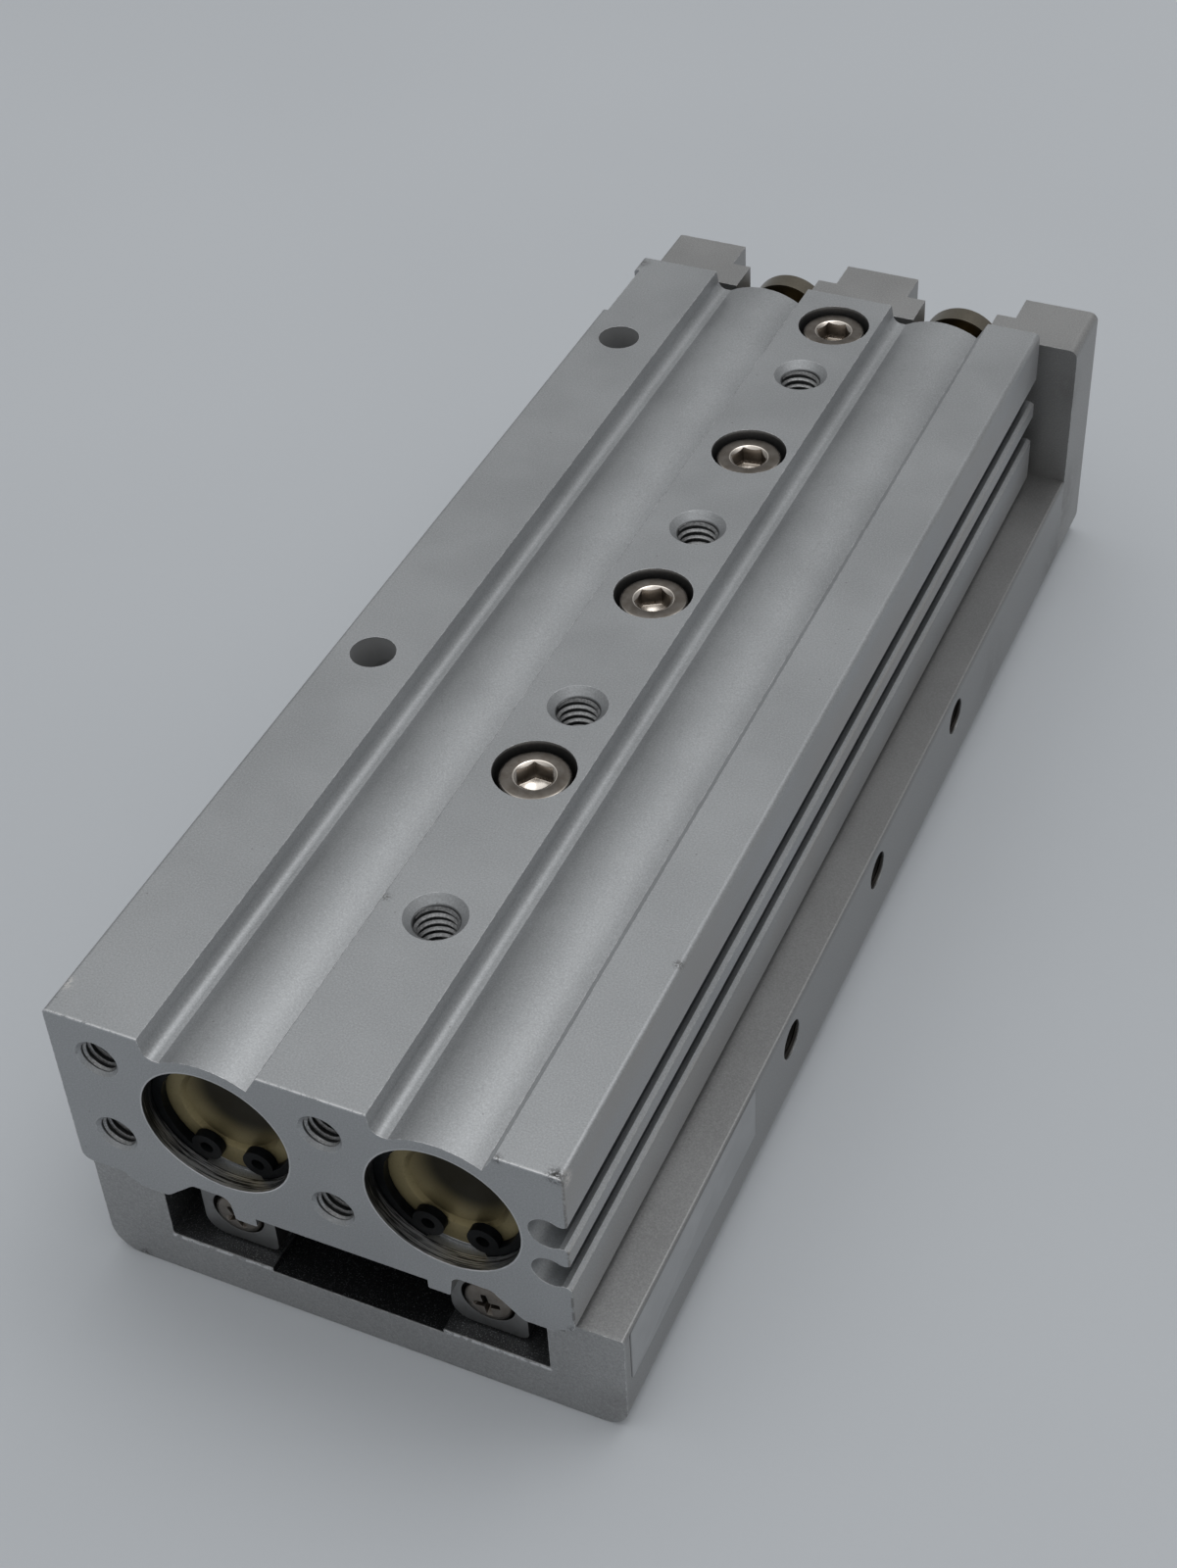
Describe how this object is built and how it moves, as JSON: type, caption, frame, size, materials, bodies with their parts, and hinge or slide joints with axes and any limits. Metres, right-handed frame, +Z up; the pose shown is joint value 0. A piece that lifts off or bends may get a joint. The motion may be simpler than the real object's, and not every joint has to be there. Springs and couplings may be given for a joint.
{
  "type": "pneumatic slide table",
  "caption": "Air-driven linear slide: piston cylinders in one extruded housing push a shallow table with an end plate, guided by crossed rollers on a ground rail.",
  "frame": {"origin": "centre of the bounding box in X and Y, on the table's mounting face", "axes": "X across the unit, Y along the stroke towards the end plate, Z up from the table's mounting face"},
  "size_m": [0.062, 0.166, 0.04],
  "materials": {
    "housing_aluminium": "satin clear anodised",
    "table_aluminium": "satin clear anodised",
    "piston_aluminium": "turned",
    "guide_steel": "ground",
    "plated_screw_steel": "nickel plated",
    "black_screw_steel": "black oxide",
    "stop_plate_steel": "stamped",
    "black_spring_steel": "phosphated",
    "olive_cap": "olive chromate",
    "bronze": "turned bearing bronze",
    "hard_chrome": "ground and polished",
    "nitrile_rubber": "moulded",
    "urethane": "moulded, translucent amber",
    "magnet_compound": "bonded magnet",
    "cage_plastic": "moulded"
  },
  "bodies": {
    "cylinder": {"cylinder_body": "housing_aluminium", "guide_rail": "guide_steel", "rail_screws": "plated_screw_steel", "passage_plugs": "guide_steel", "head_cap_left": "olive_cap", "head_cap_right": "olive_cap", "cap_o_ring_left": "nitrile_rubber", "cap_o_ring_right": "nitrile_rubber", "retaining_ring_left": "black_spring_steel", "retaining_ring_right": "black_spring_steel", "head_bumper_left": "urethane", "head_bumper_right": "urethane", "rod_bumper_left": "urethane", "rod_bumper_right": "urethane", "rod_seal_support_left": "bronze", "rod_seal_support_right": "bronze", "support_o_ring_left": "nitrile_rubber", "support_o_ring_right": "nitrile_rubber", "rod_seal_left": "nitrile_rubber", "rod_seal_right": "nitrile_rubber", "rod_clip_left": "black_spring_steel", "rod_clip_right": "black_spring_steel"},
    "table": {"slide_table": "table_aluminium", "end_plate": "table_aluminium", "end_plate_screws": "plated_screw_steel", "end_plate_dowels": "guide_steel", "guide_screws": "plated_screw_steel", "preload_screws": "black_screw_steel", "roller_stops": "stop_plate_steel", "roller_stop_screws": "plated_screw_steel", "outer_guide_left": "guide_steel", "outer_guide_right": "guide_steel", "piston_rod_left": "hard_chrome", "piston_rod_right": "hard_chrome", "piston_left": "piston_aluminium", "piston_right": "piston_aluminium", "piston_seal_left": "nitrile_rubber", "piston_seal_right": "nitrile_rubber", "piston_magnet_left": "magnet_compound", "piston_magnet_right": "magnet_compound", "piston_nut_left": "guide_steel", "piston_nut_right": "guide_steel", "floating_bush_left": "bronze", "floating_bush_right": "bronze"},
    "cage_left": {"roller_cage_left": "cage_plastic", "rollers_left": "hard_chrome"},
    "cage_right": {"roller_cage_right": "cage_plastic", "rollers_right": "hard_chrome"}
  },
  "joints": [
    {"name": "table_slide", "type": "slide", "parent": "cylinder", "child": "table", "axis": [0, 1, 0], "range_m": [0, 0.075]},
    {"name": "cage_left_slide", "type": "slide", "parent": "cylinder", "child": "cage_left", "axis": [0, 1, 0], "range_m": [0, 0.0375]},
    {"name": "cage_right_slide", "type": "slide", "parent": "cylinder", "child": "cage_right", "axis": [0, 1, 0], "range_m": [0, 0.0375]}
  ],
  "couplings": [
    {"joint": "cage_left_slide", "follows": "table_slide", "ratio": 0.5},
    {"joint": "cage_right_slide", "follows": "table_slide", "ratio": 0.5}
  ]
}
